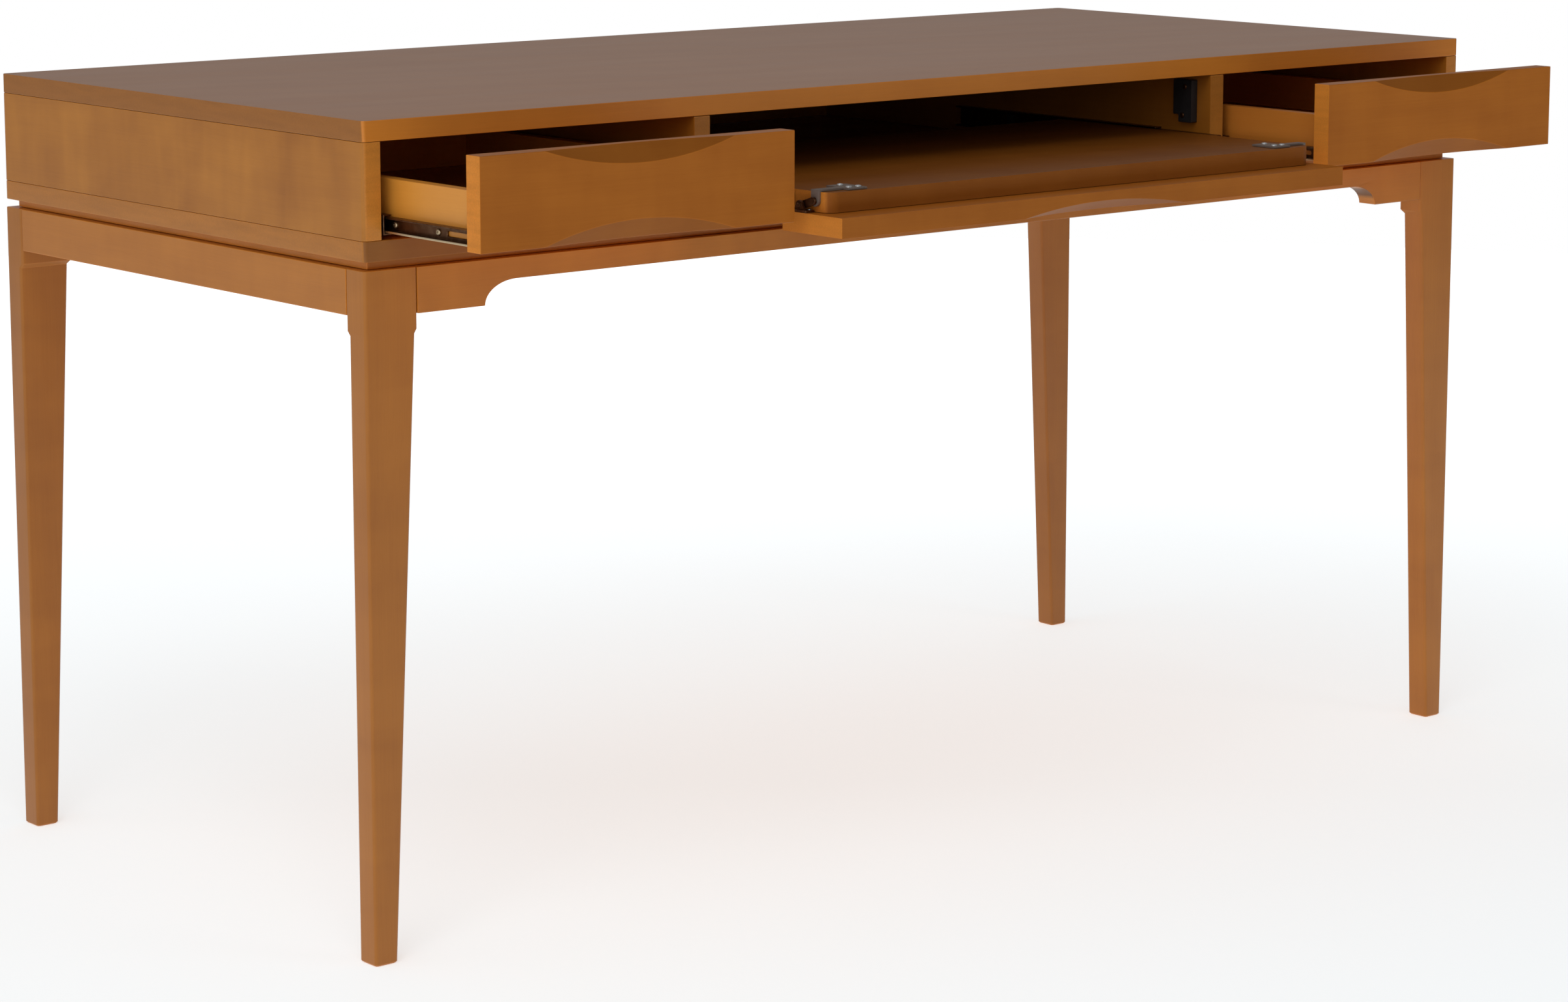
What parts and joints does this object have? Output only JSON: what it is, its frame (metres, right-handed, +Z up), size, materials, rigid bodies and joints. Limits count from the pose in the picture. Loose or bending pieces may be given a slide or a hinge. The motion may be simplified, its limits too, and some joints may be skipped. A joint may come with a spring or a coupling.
{
  "type": "writing desk",
  "caption": "Writing desk on tapered legs, with scooped drawer fronts either side of a pull-out keyboard tray behind a drop-down flap.",
  "frame": {"origin": "on the floor, under the middle of the desk's box with the drawers, tray and flap as they stand", "axes": "+X along the front to the sitter's right, +Y from the sitter to the back, +Z up"},
  "size_m": [1.397, 0.79, 0.737],
  "materials": {
    "desktop_wood": "satin walnut-brown stain over close grain",
    "case_wood": "satin honey-brown stain",
    "base_wood": "satin honey-brown stain",
    "front_wood": "satin honey-brown stain",
    "drawer_wood": "clear satin lacquer",
    "slide_steel": "black zinc, oiled",
    "nickel_plate": "nickel plate",
    "black_plastic": "matte"
  },
  "bodies": {
    "desk_frame": {"desktop": "desktop_wood", "bottom_panel": "case_wood", "left_side_panel": "case_wood", "right_side_panel": "case_wood", "left_divider": "case_wood", "right_divider": "case_wood", "back_panel": "case_wood", "spacer_frame": "case_wood", "front_apron": "base_wood", "back_apron": "base_wood", "left_apron": "base_wood", "right_apron": "base_wood", "front_left_leg": "base_wood", "front_left_corner_block": "drawer_wood", "front_right_leg": "base_wood", "front_right_corner_block": "drawer_wood", "back_left_leg": "base_wood", "back_left_corner_block": "drawer_wood", "back_right_leg": "base_wood", "back_right_corner_block": "drawer_wood", "left_drawer_left_slide_outer": "slide_steel", "left_drawer_right_slide_outer": "slide_steel", "right_drawer_left_slide_outer": "slide_steel", "right_drawer_right_slide_outer": "slide_steel", "tray_left_slide_outer": "slide_steel", "tray_right_slide_outer": "slide_steel", "left_flap_catch": "black_plastic", "right_flap_catch": "black_plastic"},
    "left_drawer_runners": {"left_drawer_left_slide_middle": "slide_steel", "left_drawer_right_slide_middle": "slide_steel"},
    "left_drawer": {"left_drawer_front": "front_wood", "left_drawer_left_side": "drawer_wood", "left_drawer_right_side": "drawer_wood", "left_drawer_back": "drawer_wood", "left_drawer_floor": "drawer_wood", "left_drawer_left_slide_inner": "slide_steel", "left_drawer_right_slide_inner": "slide_steel"},
    "right_drawer_runners": {"right_drawer_left_slide_middle": "slide_steel", "right_drawer_right_slide_middle": "slide_steel"},
    "right_drawer": {"right_drawer_front": "front_wood", "right_drawer_left_side": "drawer_wood", "right_drawer_right_side": "drawer_wood", "right_drawer_back": "drawer_wood", "right_drawer_floor": "drawer_wood", "right_drawer_left_slide_inner": "slide_steel", "right_drawer_right_slide_inner": "slide_steel"},
    "tray_runners": {"tray_left_slide_middle": "slide_steel", "tray_right_slide_middle": "slide_steel"},
    "tray": {"tray_board": "case_wood", "tray_left_slide_inner": "slide_steel", "tray_right_slide_inner": "slide_steel", "left_flap_hinge_plate": "nickel_plate", "right_flap_hinge_plate": "nickel_plate"},
    "flap_links": {"left_flap_link": "slide_steel", "right_flap_link": "slide_steel"},
    "flap": {"flap_front": "front_wood", "left_flap_bracket": "slide_steel", "right_flap_bracket": "slide_steel"}
  },
  "joints": [
    {"name": "left_drawer_slide", "type": "slide", "parent": "desk_frame", "child": "left_drawer", "axis": [0, -1, 0], "range_m": [-0.141, 0.239]},
    {"name": "left_drawer_runner_slide", "type": "slide", "parent": "desk_frame", "child": "left_drawer_runners", "axis": [0, -1, 0], "range_m": [-0.0705, 0.1195]},
    {"name": "right_drawer_slide", "type": "slide", "parent": "desk_frame", "child": "right_drawer", "axis": [0, -1, 0], "range_m": [-0.141, 0.239]},
    {"name": "right_drawer_runner_slide", "type": "slide", "parent": "desk_frame", "child": "right_drawer_runners", "axis": [0, -1, 0], "range_m": [-0.0705, 0.1195]},
    {"name": "tray_runner_slide", "type": "slide", "parent": "desk_frame", "child": "tray_runners", "axis": [0, -1, 0], "range_m": [-0.086, 0]},
    {"name": "tray_slide", "type": "slide", "parent": "tray_runners", "child": "tray", "axis": [0, -1, 0], "range_m": [-0.085, 0.115]},
    {"name": "flap_link_swing", "type": "hinge", "parent": "tray", "child": "flap_links", "pos_m": [0, -0.34825, 0.6525], "axis": [1, 0, 0], "range_deg": [-180, 0]},
    {"name": "flap_pivot", "type": "hinge", "parent": "flap_links", "child": "flap", "pos_m": [0, -0.3345, 0.648], "axis": [1, 0, 0], "range_deg": [0, 90]}
  ],
  "couplings": [
    {"joint": "left_drawer_runner_slide", "follows": "left_drawer_slide", "ratio": 0.5},
    {"joint": "right_drawer_runner_slide", "follows": "right_drawer_slide", "ratio": 0.5},
    {"joint": "flap_link_swing", "follows": "tray_runner_slide", "rad_per_m": 36.53},
    {"joint": "flap_pivot", "follows": "tray_runner_slide", "rad_per_m": -18.265}
  ]
}
